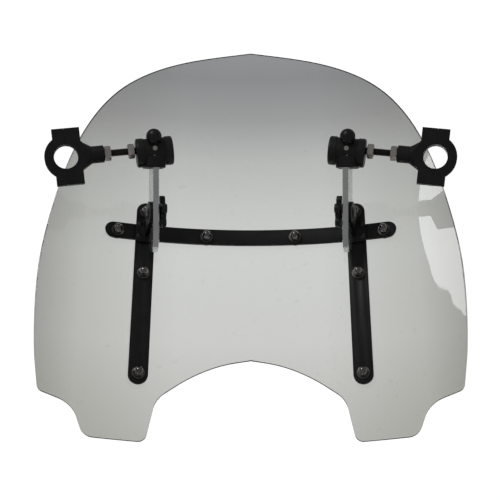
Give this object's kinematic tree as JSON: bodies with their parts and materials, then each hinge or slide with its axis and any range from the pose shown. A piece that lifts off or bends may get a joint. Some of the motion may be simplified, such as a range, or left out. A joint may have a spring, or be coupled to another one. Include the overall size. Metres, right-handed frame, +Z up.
{
  "type": "motorcycle windscreen",
  "caption": "Curved smoked clear windscreen with a riveted strap frame and two tilting support arms that end in split handlebar clamps.",
  "frame": {"origin": "the point midway between the two handlebar clamp bores", "axes": "+Z up along the straight rulings of the screen, +Y forward in the direction of travel (the hollow, hardware side faces the rider at -Y), +X to the rider's right"},
  "size_m": [0.4492, 0.1231, 0.4946],
  "materials": {
    "smoked_screen": "clear, lightly smoked, polished",
    "black_steel": "satin black powder coat",
    "black_zinc": "black plated",
    "black_cast": "black anodised cast alloy",
    "black_knob": "black moulded, fine grain",
    "polished_bar": "brushed bright",
    "chrome": "bright plated",
    "bright_zinc": "zinc plated",
    "rubber": "matt black",
    "nylon": "black nylon",
    "bronze": "plain bearing bronze"
  },
  "bodies": {
    "screen": {"windscreen": "smoked_screen", "cross_strap": "black_steel", "bracket_rivets": "black_zinc", "screen_screws": "black_zinc", "screen_washers": "rubber", "strap_washers": "bright_zinc", "strap_spacers": "rubber", "acorn_nuts": "chrome", "upright_strap_right": "black_steel", "pivot_bracket_right": "black_steel", "pivot_bolt_right": "black_zinc", "knob_washer_right": "bright_zinc", "upright_strap_left": "black_steel", "pivot_bracket_left": "black_steel", "pivot_bolt_left": "black_zinc", "knob_washer_left": "bright_zinc"},
    "tilt_knob_right": {"tilt_knob_right": "black_knob"},
    "support_right": {"support_bar_right": "polished_bar", "bar_collar_right": "black_cast", "barrel_sleeve_right": "black_cast", "barrel_outer_cap_right": "black_knob", "barrel_inner_cap_right": "black_knob", "rod_bush_right": "bronze", "set_screw_right": "bright_zinc"},
    "ball_knob_right": {"ball_knob_right": "black_knob"},
    "rod_right": {"threaded_rod_right": "black_zinc", "barrel_nut_right": "bright_zinc"},
    "clamp_right": {"clamp_nut_right": "bright_zinc", "clamp_body_right": "black_cast", "clamp_cap_right": "black_cast", "clamp_bolts_right": "black_zinc"},
    "tilt_knob_left": {"tilt_knob_left": "black_knob"},
    "support_left": {"support_bar_left": "polished_bar", "bar_collar_left": "black_cast", "barrel_sleeve_left": "black_cast", "barrel_outer_cap_left": "black_knob", "barrel_inner_cap_left": "black_knob", "rod_bush_left": "bronze", "set_screw_left": "bright_zinc"},
    "ball_knob_left": {"ball_knob_left": "black_knob"},
    "rod_left": {"threaded_rod_left": "black_zinc", "barrel_nut_left": "bright_zinc"},
    "clamp_left": {"clamp_nut_left": "bright_zinc", "clamp_body_left": "black_cast", "clamp_cap_left": "black_cast", "clamp_bolts_left": "black_zinc"}
  },
  "joints": [
    {"name": "bar_tilt_right", "type": "hinge", "parent": "screen", "child": "support_right", "pos_m": [0.1041, 0.04136, -0.04412], "axis": [0.9659, -0.2294, -0.1199], "range_deg": [-11, 7]},
    {"name": "tilt_knob_turn_right", "type": "hinge", "parent": "screen", "child": "tilt_knob_right", "pos_m": [0.1041, 0.04136, -0.04412], "axis": [0.9659, -0.2294, -0.1199], "continuous": true},
    {"name": "ball_knob_turn_right", "type": "hinge", "parent": "support_right", "child": "ball_knob_right", "pos_m": [0.1038, 0.011, 0.01405], "axis": [-0.0372, -0.9386, 0.343], "continuous": true},
    {"name": "rod_swivel_right", "type": "hinge", "parent": "support_right", "child": "rod_right", "pos_m": [0.1041, 0.00967, 0.0165], "axis": [0.979, -0.103, -0.1757], "continuous": true},
    {"name": "clamp_reach_right", "type": "slide", "parent": "rod_right", "child": "clamp_right", "axis": [0.979, -0.103, -0.1757], "range_m": [0, 0.008]},
    {"name": "bar_tilt_left", "type": "hinge", "parent": "screen", "child": "support_left", "pos_m": [-0.1041, 0.04136, -0.04412], "axis": [0.9659, 0.2294, 0.1199], "range_deg": [-11, 7]},
    {"name": "tilt_knob_turn_left", "type": "hinge", "parent": "screen", "child": "tilt_knob_left", "pos_m": [-0.1041, 0.04136, -0.04412], "axis": [0.9659, 0.2294, 0.1199], "continuous": true},
    {"name": "ball_knob_turn_left", "type": "hinge", "parent": "support_left", "child": "ball_knob_left", "pos_m": [-0.1038, 0.011, 0.01405], "axis": [0.0372, -0.9386, 0.343], "continuous": true},
    {"name": "rod_swivel_left", "type": "hinge", "parent": "support_left", "child": "rod_left", "pos_m": [-0.1041, 0.00967, 0.0165], "axis": [0.979, 0.103, 0.1757], "continuous": true},
    {"name": "clamp_reach_left", "type": "slide", "parent": "rod_left", "child": "clamp_left", "axis": [-0.979, -0.103, -0.1757], "range_m": [0, 0.008]}
  ]
}
